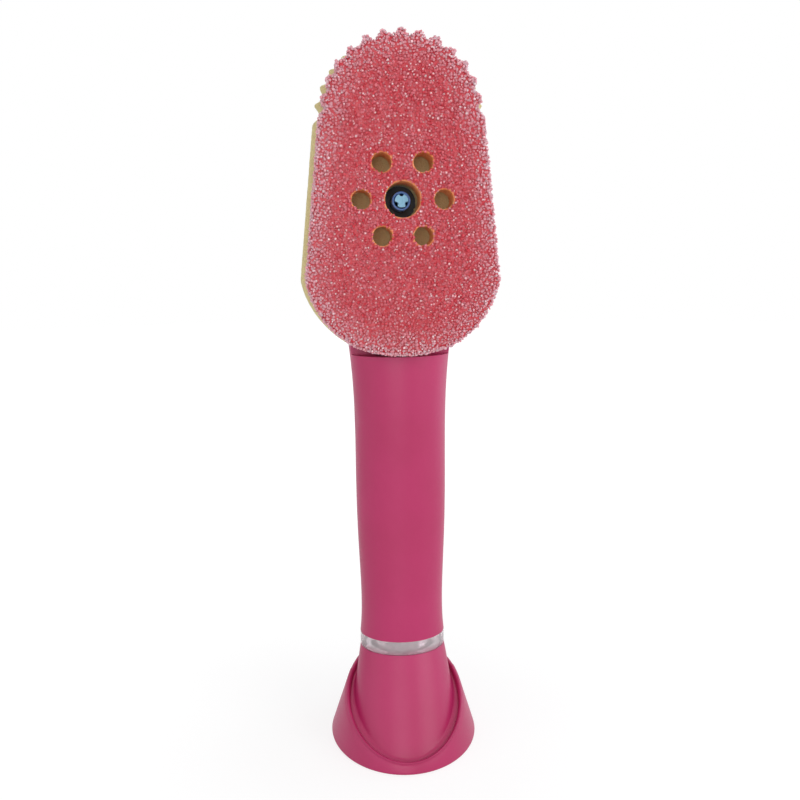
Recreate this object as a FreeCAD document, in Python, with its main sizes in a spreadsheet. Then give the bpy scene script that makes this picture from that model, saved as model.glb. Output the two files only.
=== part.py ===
import FreeCAD, Part
import math
import os
import Sketcher

# Dish wand that stands on its base cap, with a soap reservoir in the handle, a push valve
# in the head and a pull-off scrubbing pad. Millimetres, +Z up, the scrubbing face looks
# along -Y, and the origin lies on the floor under the handle's axis.

SIZES = (
    # Base cap: a flared foot, wrapped round a core that carries on the line of the handle
    ("foot_half_width", 31.2),
    ("foot_half_depth", 36.3),
    ("foot_edge_round", 0.8),
    ("cap_height", 39.5),
    ("skirt_top_height", 36.0),
    ("skirt_top_half_width", 20.3),
    ("skirt_top_half_depth", 22.0),
    ("skirt_top_shift", 5.5),
    ("core_foot_half_width", 22.3),
    ("core_foot_half_depth", 22.2),
    ("core_foot_shift", 12.4),
    ("core_mid_height", 20.0),
    ("core_mid_half_width", 20.7),
    ("core_mid_half_depth", 18.4),
    ("core_mid_shift", 5.6),
    ("lip_slope", 30.0),
    ("lip_front_height", 2.2),
    ("lip_round", 1.2),
    ("valley_round", 1.3),
    ("cap_wall", 2.2),
    ("cap_rib", 1.6),
    ("cap_rib_rise", 5.0),
    # Threaded insert that closes the reservoir's neck, with its gasket and vent
    ("insert_wall", 1.6),
    ("insert_floor", 2.0),
    ("thread_room", 1.2),
    ("gasket_thickness", 1.8),
    ("gasket_width", 2.6),
    ("vent_stem_radius", 1.4),
    ("vent_disc_radius", 4.2),
    ("vent_disc_thickness", 0.9),
    ("vent_bulb_radius", 2.0),
    ("vent_bulb_length", 2.4),
    ("vent_hole_radius", 0.7),
    ("vent_hole_circle", 2.9),
    # Clear reservoir with its visible collar and its filling neck
    ("collar_half_width", 17.8),
    ("collar_half_depth", 14.05),
    ("collar_height", 5.7),
    ("neck_radius", 10.4),
    ("neck_wall", 1.8),
    ("neck_length", 21.0),
    ("reservoir_wall", 1.5),
    ("reservoir_clearance", 0.2),
    ("spigot_radius", 4.6),
    ("spigot_bore", 2.8),
    ("spigot_length", 7.5),
    ("spigot_seal_section", 0.6),
    # Handle shell: oval grip below, spoon-shaped blade behind the scrubbing pad above
    ("grip_wall", 1.9),
    ("waist_height", 70.0),
    ("waist_half_width", 17.35),
    ("waist_half_depth", 13.7),
    ("belly_height", 120.0),
    ("belly_half_width", 18.45),
    ("belly_half_depth", 14.6),
    ("shoulder_height", 163.5),
    ("shoulder_half_width", 20.0),
    ("shoulder_half_depth", 15.8),
    ("root_height", 184.0),
    ("root_half_width", 23.0),
    ("root_half_depth", 15.0),
    ("blade_height", 208.0),
    ("blade_half_width", 26.5),
    ("blade_half_depth", 13.8),
    ("upper_height", 238.0),
    ("upper_half_width", 24.0),
    ("upper_half_depth", 11.6),
    ("crown_height", 258.0),
    ("crown_half_width", 15.0),
    ("crown_half_depth", 8.0),
    ("tip_height", 264.5),
    ("tip_half_width", 7.0),
    ("tip_half_depth", 4.6),
    ("bulkhead", 5.5),
    ("tray_floor", 3.0),
    ("blade_front", 4.0),
    ("channel_offset", 4.5),
    ("channel_wall", 1.5),
    # Front cover of the blade, with the sleeves that hold the pad's pegs
    ("cover_thickness", 2.5),
    ("cover_clearance", 0.15),
    ("sleeve_wall", 1.3),
    ("sleeve_length", 7.4),
    # Soap valve
    ("valve_height", 222.0),
    ("socket_wall", 2.2),
    ("housing_radius", 7.2),
    ("housing_clearance", 0.15),
    ("housing_length", 11.3),
    ("housing_seal_section", 0.8),
    ("chamber_radius", 4.7),
    ("seat_depth", 1.8),
    ("nozzle_radius", 3.5),
    ("nozzle_bore", 2.6),
    ("nozzle_length", 17.0),
    ("nozzle_lip_round", 0.4),
    ("inlet_radius", 1.6),
    ("inlet_groove", 0.7),
    ("plunger_radius", 2.45),
    ("plunger_stem", 1.5),
    ("plunger_guide", 5.0),
    ("plunger_rise", 2.0),
    ("plunger_disc_radius", 4.3),
    ("plunger_disc_thickness", 1.2),
    ("plunger_flute", 0.9),
    ("plunger_seal_section", 0.75),
    ("plunger_travel", 2.2),
    ("retainer_thickness", 1.5),
    ("spring_wire", 0.5),
    ("spring_radius", 3.1),
    ("spring_turns", 4.0),
    ("valve_clearance", 0.05),
    # Scrubbing pad: carrier plate, cream backing foam and coarse scrubbing foam
    ("pad_top_height", 251.0),
    ("pad_top_radius", 29.3),
    ("pad_half_width", 35.6),
    ("pad_corner_radius", 25.0),
    ("pad_bottom_radius", 64.0),
    ("pad_drop", 85.6),
    ("foam_thickness", 16.0),
    ("backing_thickness", 5.0),
    ("backing_overhang", 1.2),
    ("notch_depth", 2.7),
    ("notch_half_width", 3.1),
    ("notch_count", 14),
    ("notch_pitch", 13.0),
    ("outlet_radius", 6.5),
    ("soap_hole_radius", 3.6),
    ("soap_hole_circle", 15.0),
    ("soap_hole_count", 6),
    ("carrier_inset", 6.0),
    ("carrier_thickness", 2.6),
    ("carrier_gap", 0.2),
    ("peg_radius", 2.3),
    ("peg_length", 6.6),
    ("peg_clearance", 0.08),
    ("low_peg_spread", 13.0),
    ("low_peg_height", 190.0),
    ("high_peg_spread", 11.0),
    ("high_peg_height", 244.0),
    ("outlet_seal_wall", 1.4),
    ("outlet_seal_flange", 1.2),
    ("outlet_seal_lip", 0.8),
    # Room left between pieces that turn or slide past each other
    ("running_gap", 0.2),
)

doc = FreeCAD.newDocument("dish_wand")
sheet = doc.addObject("Spreadsheet::Sheet", "Sizes")
for row, (alias, number) in enumerate(SIZES, start=1):
    sheet.set(f"A{row}", alias)
    sheet.set(f"B{row}", str(number))
    sheet.setAlias(f"B{row}", alias)
doc.recompute()

BIG = 400.0
X_AXIS = FreeCAD.Vector(1, 0, 0)
Z_AXIS = FreeCAD.Vector(0, 0, 1)


class Dim:
    """A size worked out from the sheet: its expression and its present value."""

    def __init__(self, text, number):
        self.text = text
        self.number = number

    def __add__(self, other):
        other = as_dim(other)
        return Dim(f"({self.text} + {other.text})", self.number + other.number)

    def __sub__(self, other):
        other = as_dim(other)
        return Dim(f"({self.text} - {other.text})", self.number - other.number)

    def __mul__(self, other):
        other = as_dim(other)
        return Dim(f"({self.text} * {other.text})", self.number * other.number)

    def __truediv__(self, other):
        other = as_dim(other)
        return Dim(f"({self.text} / {other.text})", self.number / other.number)

    def __neg__(self):
        return Dim(f"(0 - {self.text})", -self.number)


def as_dim(value):
    """Give a plain number the form of a size."""
    return value if isinstance(value, Dim) else Dim(str(float(value)), float(value))


def size(alias):
    """Give the sheet's size of that name."""
    return Dim(f"Sizes.{alias}", float(sheet.get(alias)))


ZERO = as_dim(0)


# Helpers for solids made of primitives and booleans

def bind(thing, **properties):
    """Tie an object's properties to sizes."""
    for name, dim in properties.items():
        thing.setExpression(name, as_dim(dim).text)
    return thing


def place(thing, x=0, y=0, z=0):
    """Tie an object's position to sizes."""
    for letter, dim in zip("xyz", (x, y, z)):
        thing.setExpression(f"Placement.Base.{letter}", as_dim(dim).text)
    return thing


def oval(name, half_width, half_depth, z, y=0):
    """Make an ellipse across the handle's axis."""
    ellipse = doc.addObject("Part::Ellipse", name)
    if half_width.number >= half_depth.number:
        bind(ellipse, MajorRadius=half_width, MinorRadius=half_depth)
    else:
        bind(ellipse, MajorRadius=half_depth, MinorRadius=half_width)
        ellipse.Placement.Rotation = FreeCAD.Rotation(Z_AXIS, 90)
    return place(ellipse, 0, y, z)


def loft(name, stations):
    """Make a solid through ovals given as (half width, half depth, height, shift in y)."""
    solid = doc.addObject("Part::Loft", name)
    solid.Sections = [oval(f"{name}_oval_{index}", *station) for index, station in enumerate(stations)]
    solid.Solid = True
    return solid


def cylinder(name, radius, length, x=0, y=0, z=0, along_y=False):
    """Make a cylinder that starts at a point and runs along +Z, or along +Y."""
    solid = bind(doc.addObject("Part::Cylinder", name), Radius=radius, Height=length)
    if along_y:
        solid.Placement.Rotation = FreeCAD.Rotation(X_AXIS, -90)
    return place(solid, x, y, z)


def box(name, length, width, height, x, y, z):
    """Make a box from its lowest corner."""
    solid = bind(doc.addObject("Part::Box", name), Length=length, Width=width, Height=height)
    return place(solid, x, y, z)


def torus(name, ring_radius, section_radius, x=0, y=0, z=0, along_y=False):
    """Make a seal ring round the Z axis, or round the Y axis."""
    ring = bind(doc.addObject("Part::Torus", name), Radius1=ring_radius, Radius2=section_radius)
    if along_y:
        ring.Placement.Rotation = FreeCAD.Rotation(X_AXIS, -90)
    return place(ring, x, y, z)


def fuse(name, *solids):
    """Join solids."""
    joined = doc.addObject("Part::MultiFuse", name)
    joined.Shapes = list(solids)
    joined.Refine = True
    return joined


def common(name, *solids):
    """Keep what all the solids share."""
    shared = doc.addObject("Part::MultiCommon", name)
    shared.Shapes = list(solids)
    return shared


def cut(name, base, *tools):
    """Take one or more tools away from a solid."""
    result = doc.addObject("Part::Cut", name)
    result.Base = base
    result.Tool = tools[0] if len(tools) == 1 else fuse(f"{name}_tools", *tools)
    return result


def half_space(name, y, z, slope):
    """Make a large block under a plane that passes through (y, z) and climbs backwards."""
    block = doc.addObject("Part::Box", name)
    block.Length = block.Width = block.Height = 2 * BIG
    block.Placement.Rotation = FreeCAD.Rotation(X_AXIS, slope.number)
    angle = f"({slope.text} * 1 deg)"
    block.setExpression("Placement.Rotation.Angle", angle)
    block.setExpression("Placement.Base.x", str(-BIG))
    block.setExpression("Placement.Base.y", f"{y.text} + {2 * BIG} * sin({angle}) - {BIG} * cos({angle})")
    block.setExpression("Placement.Base.z", f"{z.text} - {2 * BIG} * cos({angle}) - {BIG} * sin({angle})")
    return block


# Helpers for bodies made of sketches

def new_body(name, x=0, y=0, z=0):
    """Start a body at a place."""
    body = doc.addObject("PartDesign::Body", name)
    return place(body, x, y, z)


def new_sketch(body, name, role):
    """Start a sketch on one of the body's own planes."""
    plane = [item for item in body.Origin.OriginFeatures if item.Role == role][0]
    sketch = body.newObject("Sketcher::SketchObject", name)
    sketch.AttachmentSupport = [(plane, "")]
    sketch.MapMode = "FlatFace"
    return sketch


def constrain(sketch, dim, *terms):
    """Add a measured constraint tied to a size."""
    index = sketch.addConstraint(Sketcher.Constraint(*terms, dim.number))
    sketch.setExpression(f"Constraints[{index}]", dim.text)


def pin_point(sketch, geometry, position, x, y):
    """Hold a sketch point at (x, y) from the sketch's origin."""
    for kind, axis, dim in (("DistanceX", -2, x), ("DistanceY", -1, y)):
        if dim.number == 0:
            sketch.addConstraint(Sketcher.Constraint("PointOnObject", geometry, position, axis))
        elif dim.number > 0:
            constrain(sketch, dim, kind, -1, 1, geometry, position)
        else:
            constrain(sketch, -dim, kind, geometry, position, -1, 1)


def add_circle(sketch, x, y, radius):
    """Add a circle held by its centre and radius."""
    centre = FreeCAD.Vector(x.number, y.number, 0)
    index = sketch.addGeometry(Part.Circle(centre, FreeCAD.Vector(0, 0, 1), radius.number))
    pin_point(sketch, index, 3, x, y)
    constrain(sketch, radius, "Radius", index)


def add_polygon(sketch, points):
    """Add a closed outline of straight lines through points held by their sizes."""
    points = [(as_dim(x), as_dim(y)) for x, y in points]
    corners = [FreeCAD.Vector(x.number, y.number, 0) for x, y in points]
    first = sketch.GeometryCount
    count = len(corners)
    for index in range(count):
        sketch.addGeometry(Part.LineSegment(corners[index], corners[(index + 1) % count]))
    for index in range(count):
        following = first + (index + 1) % count
        sketch.addConstraint(Sketcher.Constraint("Coincident", first + index, 2, following, 1))
    for index, (x, y) in enumerate(points):
        pin_point(sketch, first + index, 1, x, y)


def turned_body(name, profile, x=0, y=0, z=0, along_y=False):
    """Turn a profile of (distance along the axis, radius) points into a round piece."""
    body = new_body(name, x, y, z)
    sketch = new_sketch(body, f"{name}_profile", "YZ_Plane" if along_y else "XZ_Plane")
    if along_y:
        add_polygon(sketch, profile)
    else:
        add_polygon(sketch, [(radius, along) for along, radius in profile])
    turn = body.newObject("PartDesign::Revolution", f"{name}_turn")
    turn.Profile = sketch
    turn.ReferenceAxis = (sketch, ["H_Axis" if along_y else "V_Axis"])
    turn.Angle = 360
    return body


def round_edges(body, name, radius, wanted):
    """Round the edges of a body that a test picks out."""
    doc.recompute()
    edges = [f"Edge{n}" for n, edge in enumerate(body.Shape.Edges, start=1) if wanted(edge)]
    fillet = body.newObject("PartDesign::Fillet", name)
    fillet.Base = (fillet.BaseFeature or body.Tip, edges)
    bind(fillet, Radius=radius)
    body.Tip = fillet
    return fillet


def pad_sketch(sketch, name, length, forward=True):
    """Pad a sketch on an XZ plane towards the front of the wand, or towards its back."""
    body = sketch.getParentGeoFeatureGroup()
    pad = body.newObject("PartDesign::Pad", name)
    pad.Profile = sketch
    pad.Reversed = not forward
    return bind(pad, Length=length)


def pocket_through(sketch, name):
    """Cut a sketch right through its body."""
    body = sketch.getParentGeoFeatureGroup()
    pocket = body.newObject("PartDesign::Pocket", name)
    pocket.Profile = sketch
    pocket.Type = "ThroughAll"
    pocket.Midplane = True
    return pocket


def polar_copies(body, name, feature, sketch, angle, count):
    """Repeat a feature round the normal of a sketch."""
    pattern = body.newObject("PartDesign::PolarPattern", name)
    pattern.Originals = [feature]
    pattern.Axis = (sketch, ["N_Axis"])
    pattern.setExpression("Angle", f"{angle.text} * 1 deg")
    bind(pattern, Occurrences=count)
    body.Tip = pattern
    return pattern


# Heights and depths that several pieces share

collar_base = size("cap_height") + size("running_gap")
collar_top = collar_base + size("collar_height")
cavity_top = size("shoulder_height") - size("bulkhead")
tray_base = size("shoulder_height") + size("tray_floor")
cover_front = -size("blade_front")
cover_back = cover_front + size("cover_thickness")
socket_bore = size("housing_radius") + size("housing_clearance")
spigot_seat = size("spigot_radius") + size("reservoir_clearance")
spigot_seat_top = cavity_top + size("spigot_length") + size("running_gap")
neck_end = collar_base - size("neck_length")
insert_bore = size("neck_radius") + size("thread_room")
insert_outside = insert_bore + size("insert_wall")
gasket_base = neck_end - size("gasket_thickness")
insert_base = gasket_base - size("insert_floor")
carrier_back = cover_front - size("carrier_gap")
carrier_front = carrier_back - size("carrier_thickness")
backing_front = carrier_front - size("backing_thickness")
peg_hole = size("peg_radius") + size("peg_clearance")
nozzle_tip = cover_back - size("nozzle_length")
peg_places = [
    (spread * side, size(f"{row}_peg_height"))
    for row, spread in (("low", size("low_peg_spread")), ("high", size("high_peg_spread")))
    for side in (-1, 1)
]


# Base cap

def cap_form(name, wall):
    """Make the flared foot and its core, both drawn in by a wall, as one outer form."""
    top = size("cap_height") - wall
    skirt = loft(f"{name}_skirt", [
        (size("foot_half_width") - wall, size("foot_half_depth") - wall, ZERO),
        (size("skirt_top_half_width") - wall, size("skirt_top_half_depth") - wall,
         size("skirt_top_height"), -size("skirt_top_shift")),
    ])
    core = loft(f"{name}_core", [
        (size("core_foot_half_width") - wall, size("core_foot_half_depth") - wall,
         ZERO, -size("core_foot_shift")),
        (size("core_mid_half_width") - wall, size("core_mid_half_depth") - wall,
         size("core_mid_height"), -size("core_mid_shift")),
        (size("collar_half_width") - wall, size("collar_half_depth") - wall, top),
    ])
    under_lip = half_space(
        f"{name}_under_lip", -size("foot_half_depth"), size("lip_front_height") - wall, size("lip_slope"))
    return fuse(f"{name}_form", common(f"{name}_petal", skirt, under_lip), core)


def lies_in_lip_plane(edge):
    """Tell whether an edge lies in the slanted plane of the cap's lip."""
    rise = math.tan(math.radians(size("lip_slope").number))
    front = size("foot_half_depth").number
    base = size("lip_front_height").number
    return all(abs(p.z - base - rise * (p.y + front)) < 0.02 for p in edge.discretize(9))


def lies_on_floor(edge):
    """Tell whether an edge lies in the plane that the wand stands on."""
    return all(abs(p.z) < 0.001 for p in edge.discretize(5))


def edge_radii(solid, rounds):
    """List (edge number, radius, radius) for the edges that each test picks out, longest first."""
    numbered = sorted(enumerate(solid.Shape.Edges, start=1), key=lambda item: -item[1].Length)
    radii = []
    for wanted, sizes in rounds:
        picked = [number for number, edge in numbered if wanted(edge)]
        radii += [(number, radius.number, radius.number) for number, radius in zip(picked, sizes)]
    return radii


def make_base_cap():
    """Make the flared foot: round lip and valley, hollow below, ribs and the insert's socket."""
    outside = cap_form("cap_outside", ZERO)
    doc.recompute()
    rounded = doc.addObject("Part::Fillet", "cap_rounded")
    rounded.Base = outside
    rounded.Edges = edge_radii(outside, (
        (lies_in_lip_plane, (size("lip_round"), size("valley_round"))),
        (lies_on_floor, (size("foot_edge_round"),)),
    ))
    hollow = cap_form("cap_hollow", size("cap_wall"))
    shell = cut("cap_shell", rounded, hollow)
    half_rib = size("cap_rib") / 2
    reach = size("foot_half_depth")
    rise = size("cap_height") - size("cap_rib_rise") - size("cap_wall")
    across = box("cap_rib_across", reach * 2, size("cap_rib"), rise, -reach, -half_rib, size("cap_rib_rise"))
    along = box("cap_rib_along", size("cap_rib"), reach * 2, rise, -half_rib, -reach, size("cap_rib_rise"))
    ribs = common("cap_ribs", fuse("cap_rib_cross", across, along), cap_form("cap_rib_limit", size("cap_wall") / 2))
    sleeve_base = insert_base - size("cap_wall")
    sleeve = common(
        "cap_sleeve",
        cylinder("cap_sleeve_round", insert_outside + size("cap_wall"), size("cap_height") - sleeve_base,
                 z=sleeve_base),
        cap_form("cap_sleeve_limit", size("cap_wall") / 2))
    socket = cylinder("cap_socket", insert_outside, size("cap_height"), z=insert_base)
    well = cylinder("cap_well", size("vent_disc_radius"), insert_base + size("cap_wall"), z=-size("cap_wall"))
    return cut("base_cap", fuse("cap_whole", shell, ribs, sleeve), socket, well)


def make_cap_insert():
    """Make the cup that carries the screw thread and closes the reservoir's neck."""
    top = size("cap_height")
    cup = turned_body("cap_insert", [
        (insert_base, ZERO),
        (insert_base, insert_outside),
        (top, insert_outside),
        (top, insert_bore),
        (gasket_base, insert_bore),
        (gasket_base, ZERO),
    ])
    sketch = new_sketch(cup, "cap_insert_vent_holes", "XY_Plane")
    add_circle(sketch, ZERO, ZERO, size("vent_stem_radius") + size("valve_clearance"))
    add_circle(sketch, size("vent_hole_circle"), ZERO, size("vent_hole_radius"))
    add_circle(sketch, -size("vent_hole_circle"), ZERO, size("vent_hole_radius"))
    pocket_through(sketch, "cap_insert_vent")
    return cup


def make_cap_gasket():
    """Make the flat ring that the neck's end presses on."""
    outside = cylinder("cap_gasket_outside", insert_bore - size("running_gap"), size("gasket_thickness"),
                       z=gasket_base)
    inside = cylinder("cap_gasket_inside", insert_bore - size("running_gap") - size("gasket_width"),
                      size("gasket_thickness"), z=gasket_base)
    return cut("cap_gasket", outside, inside)


def make_vent_valve():
    """Make the umbrella valve that lets air in as the soap runs out."""
    disc_top = gasket_base + size("vent_disc_thickness")
    bulb_top = insert_base
    bulb_base = bulb_top - size("vent_bulb_length")
    return turned_body("vent_valve", [
        (disc_top, ZERO),
        (bulb_base, ZERO),
        (bulb_base, size("vent_stem_radius") / 2),
        (bulb_top, size("vent_bulb_radius")),
        (bulb_top, size("vent_stem_radius")),
        (gasket_base, size("vent_stem_radius")),
        (gasket_base, size("vent_disc_radius")),
    ])


# Reservoir and handle

def grip_stations(inset, base, top):
    """List the grip's ovals, drawn in by an inset, from a base height to a top height."""
    return [
        (size("collar_half_width") - inset, size("collar_half_depth") - inset, base),
        (size("waist_half_width") - inset, size("waist_half_depth") - inset, size("waist_height")),
        (size("belly_half_width") - inset, size("belly_half_depth") - inset, size("belly_height")),
        (size("shoulder_half_width") - inset, size("shoulder_half_depth") - inset, top),
    ]


def blade_stations(inset, base):
    """List the blade's ovals, drawn in by an inset, from a base height to its crown."""
    return [
        (size("shoulder_half_width") - inset, size("shoulder_half_depth") - inset, base),
        (size("root_half_width") - inset, size("root_half_depth") - inset, size("root_height")),
        (size("blade_half_width") - inset, size("blade_half_depth") - inset, size("blade_height")),
        (size("upper_half_width") - inset, size("upper_half_depth") - inset, size("upper_height")),
        (size("crown_half_width") - inset, size("crown_half_depth") - inset, size("crown_height")),
    ]


def make_reservoir():
    """Make the clear bottle: collar that shows, filling neck below and soap spigot above."""
    outer_inset = size("grip_wall") + size("reservoir_clearance")
    inner_inset = outer_inset + size("reservoir_wall")
    top = cavity_top - size("reservoir_clearance")
    bottle = loft("bottle", grip_stations(outer_inset, collar_top - size("running_gap"), top))
    collar = loft("collar", [
        (size("collar_half_width"), size("collar_half_depth"), collar_base),
        (size("collar_half_width"), size("collar_half_depth"), collar_top),
    ])
    neck = cylinder("neck", size("neck_radius"), size("neck_length") + size("collar_height"), z=neck_end)
    spigot = cylinder("spigot", size("spigot_radius"), size("spigot_length"), y=size("channel_offset"), z=top)
    chamber = loft("chamber", grip_stations(inner_inset, collar_top, top - size("reservoir_wall")))
    mouth = cylinder("mouth", size("neck_radius") - size("neck_wall"),
                     size("neck_length") + size("collar_height") + size("reservoir_wall"), z=neck_end)
    outlet = cylinder("spigot_outlet", size("spigot_bore"), size("spigot_length") + size("reservoir_wall") * 2,
                      y=size("channel_offset"), z=top - size("reservoir_wall"))
    groove = cut(
        "spigot_groove",
        cylinder("spigot_groove_outside", size("spigot_radius") * 2, spigot_groove_width,
                 y=size("channel_offset"), z=spigot_groove_base),
        cylinder("spigot_groove_inside", spigot_groove_radius, spigot_groove_width,
                 y=size("channel_offset"), z=spigot_groove_base))
    return cut("reservoir", fuse("bottle_whole", bottle, collar, neck, spigot), chamber, mouth, outlet, groove)


spigot_seal_radius = spigot_seat - size("spigot_seal_section") - size("valve_clearance")
spigot_groove_radius = spigot_seal_radius - size("spigot_seal_section") - size("valve_clearance")
spigot_groove_width = (size("spigot_seal_section") + size("valve_clearance")) * 2
spigot_groove_base = cavity_top + size("spigot_length") / 2


def make_reservoir_seal():
    """Make the ring between the reservoir's spigot and the handle."""
    return torus("reservoir_seal", spigot_seal_radius, size("spigot_seal_section"),
                 y=size("channel_offset"), z=spigot_groove_base + spigot_groove_width / 2)


def make_handle_shell():
    """Make the grip and blade as one moulded shell, open in front where the cover goes."""
    wall = size("grip_wall")
    tip = (size("tip_half_width"), size("tip_half_depth"), size("tip_height"))
    grip = grip_stations(ZERO, collar_top, size("shoulder_height"))
    outside = loft("shell_outside", grip + blade_stations(ZERO, size("shoulder_height"))[1:] + [tip])
    cavity = loft("shell_cavity", grip_stations(wall, collar_top, cavity_top))
    tray = loft("shell_tray", blade_stations(wall, tray_base))
    front = box("shell_front", BIG, BIG, BIG, -BIG / 2, cover_front - BIG, size("shoulder_height"))
    hollow = cut("shell_hollow", outside, cavity, tray, front)
    behind = box("shell_behind", BIG, BIG, BIG, -BIG / 2, cover_back, ZERO)
    tower_radius = spigot_seat + size("channel_wall")
    tower = cylinder("shell_tower", tower_radius, size("valve_height") - cavity_top,
                     y=size("channel_offset"), z=cavity_top)
    socket = cylinder("shell_socket", socket_bore + size("socket_wall"), size("blade_half_depth") * 2,
                      y=cover_back, z=size("valve_height"), along_y=True)
    inside = common("shell_inside", fuse("shell_bosses", tower, socket), behind, outside)
    whole = fuse("shell_whole", hollow, inside)
    seat = cylinder("shell_spigot_seat", spigot_seat, spigot_seat_top - cavity_top + size("grip_wall"),
                    y=size("channel_offset"), z=cavity_top - size("grip_wall"))
    channel = cylinder("shell_channel", size("spigot_bore"), size("valve_height") - cavity_top,
                       y=size("channel_offset"), z=cavity_top)
    bore = cylinder("shell_valve_bore", socket_bore, size("housing_length"),
                    y=cover_back, z=size("valve_height"), along_y=True)
    return cut("handle_shell", whole, seat, channel, bore)


def make_head_cover():
    """Make the plate that closes the blade, with a hole for the nozzle and sleeves for the pegs."""
    wall = size("grip_wall") + size("cover_clearance")
    slab = box("cover_slab", BIG, size("cover_thickness"), BIG, -BIG / 2, cover_front,
               tray_base + size("cover_clearance"))
    plate = common("cover_plate", loft("cover_limit", blade_stations(wall, tray_base)), slab)
    sleeves = [
        cylinder(f"cover_sleeve_{index}", peg_hole + size("sleeve_wall"), size("sleeve_length"),
                 x, cover_front, z, along_y=True)
        for index, (x, z) in enumerate(peg_places)
    ]
    holes = [
        cylinder(f"cover_peg_hole_{index}", peg_hole, size("sleeve_length"), x, cover_front, z, along_y=True)
        for index, (x, z) in enumerate(peg_places)
    ]
    nozzle = cylinder("cover_nozzle_hole", size("nozzle_radius") + size("housing_clearance"),
                      size("cover_thickness"), y=cover_front, z=size("valve_height"), along_y=True)
    return cut("head_cover", fuse("cover_whole", plate, *sleeves), nozzle, *holes)


# Soap valve: distances along it are measured back from the nozzle's tip

housing_front = size("nozzle_length")
housing_back = housing_front + size("housing_length")
seat_face = housing_front + size("seat_depth")
disc_front = seat_face + size("plunger_seal_section") * 2 + size("valve_clearance")
disc_back = disc_front + size("plunger_disc_thickness")
retainer_front = housing_back - size("retainer_thickness")
housing_seal_radius = socket_bore - size("housing_seal_section") - size("valve_clearance")
housing_groove_radius = housing_seal_radius - size("housing_seal_section") - size("valve_clearance")
housing_groove_front = housing_front + size("housing_seal_section") / 2
housing_groove_back = housing_groove_front + (size("housing_seal_section") + size("valve_clearance")) * 2
inlet_place = cover_back * -1 + size("channel_offset") + housing_front


def make_valve_housing():
    """Make the blue housing: base with seal and inlet grooves, long nozzle, stepped bore."""
    inlet_radius = size("housing_radius") - size("inlet_groove")
    inlet_front = inlet_place - size("inlet_radius")
    inlet_back = inlet_place + size("inlet_radius")
    body = turned_body("valve_housing", [
        (ZERO, size("nozzle_bore")),
        (ZERO, size("nozzle_radius")),
        (housing_front, size("nozzle_radius")),
        (housing_front, size("housing_radius")),
        (housing_groove_front, size("housing_radius")),
        (housing_groove_front, housing_groove_radius),
        (housing_groove_back, housing_groove_radius),
        (housing_groove_back, size("housing_radius")),
        (inlet_front, size("housing_radius")),
        (inlet_front, inlet_radius),
        (inlet_back, inlet_radius),
        (inlet_back, size("housing_radius")),
        (housing_back, size("housing_radius")),
        (housing_back, size("chamber_radius")),
        (seat_face, size("chamber_radius")),
        (seat_face, size("nozzle_bore")),
    ], y=nozzle_tip, z=size("valve_height"), along_y=True)
    sketch = new_sketch(body, "valve_housing_inlets", "XY_Plane")
    add_circle(sketch, ZERO, inlet_place, size("inlet_radius"))
    pocket_through(sketch, "valve_housing_inlet")
    round_edges(body, "valve_housing_lip", size("nozzle_lip_round"),
                lambda edge: edge.Closed and abs(edge.CenterOfMass.y - nozzle_tip.number) < 0.001)
    return body


def make_housing_seal():
    """Make the ring between the valve housing and its socket."""
    middle = nozzle_tip + (housing_groove_front + housing_groove_back) / 2
    return torus("housing_seal", housing_seal_radius, size("housing_seal_section"),
                 y=middle, z=size("valve_height"), along_y=True)


def make_valve_plunger():
    """Make the plunger: domed tip, fluted guide, thin stem and the disc that carries the seal."""
    tip = -size("plunger_rise")
    hub = size("nozzle_bore") - size("valve_clearance")
    hub_front = seat_face + size("valve_clearance")
    body = turned_body("valve_plunger", [
        (ZERO, ZERO),
        (ZERO, size("plunger_radius")),
        (size("plunger_guide"), size("plunger_radius")),
        (size("plunger_guide"), size("plunger_stem")),
        (hub_front - tip, size("plunger_stem")),
        (hub_front - tip, hub),
        (disc_front - tip, hub),
        (disc_front - tip, size("plunger_disc_radius")),
        (disc_back - tip, size("plunger_disc_radius")),
        (disc_back - tip, ZERO),
    ], y=nozzle_tip + tip, z=size("valve_height"), along_y=True)
    sketch = new_sketch(body, "valve_plunger_flutes", "XZ_Plane")
    add_circle(sketch, ZERO, size("plunger_radius"), size("plunger_flute"))
    flute = body.newObject("PartDesign::Pocket", "valve_plunger_flute")
    flute.Profile = sketch
    bind(flute, Length=size("plunger_guide"))
    polar_copies(body, "valve_plunger_flute_ring", flute, sketch, as_dim(360), as_dim(3))
    return body


def make_plunger_seal():
    """Make the ring that the plunger presses against its seat."""
    ring = size("nozzle_bore") + size("plunger_seal_section")
    return torus("plunger_seal", ring, size("plunger_seal_section"),
                 y=nozzle_tip + seat_face + size("plunger_seal_section") + size("valve_clearance") / 2,
                 z=size("valve_height"), along_y=True)


def make_spring_retainer():
    """Make the plug that backs the spring, with a stub that centres it."""
    stub = size("spring_radius") - size("spring_wire") * 2
    return turned_body("spring_retainer", [
        (retainer_front - size("retainer_thickness"), ZERO),
        (retainer_front - size("retainer_thickness"), stub),
        (retainer_front, stub),
        (retainer_front, size("chamber_radius") - size("valve_clearance")),
        (housing_back, size("chamber_radius") - size("valve_clearance")),
        (housing_back, ZERO),
    ], y=nozzle_tip, z=size("valve_height"), along_y=True)


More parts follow.
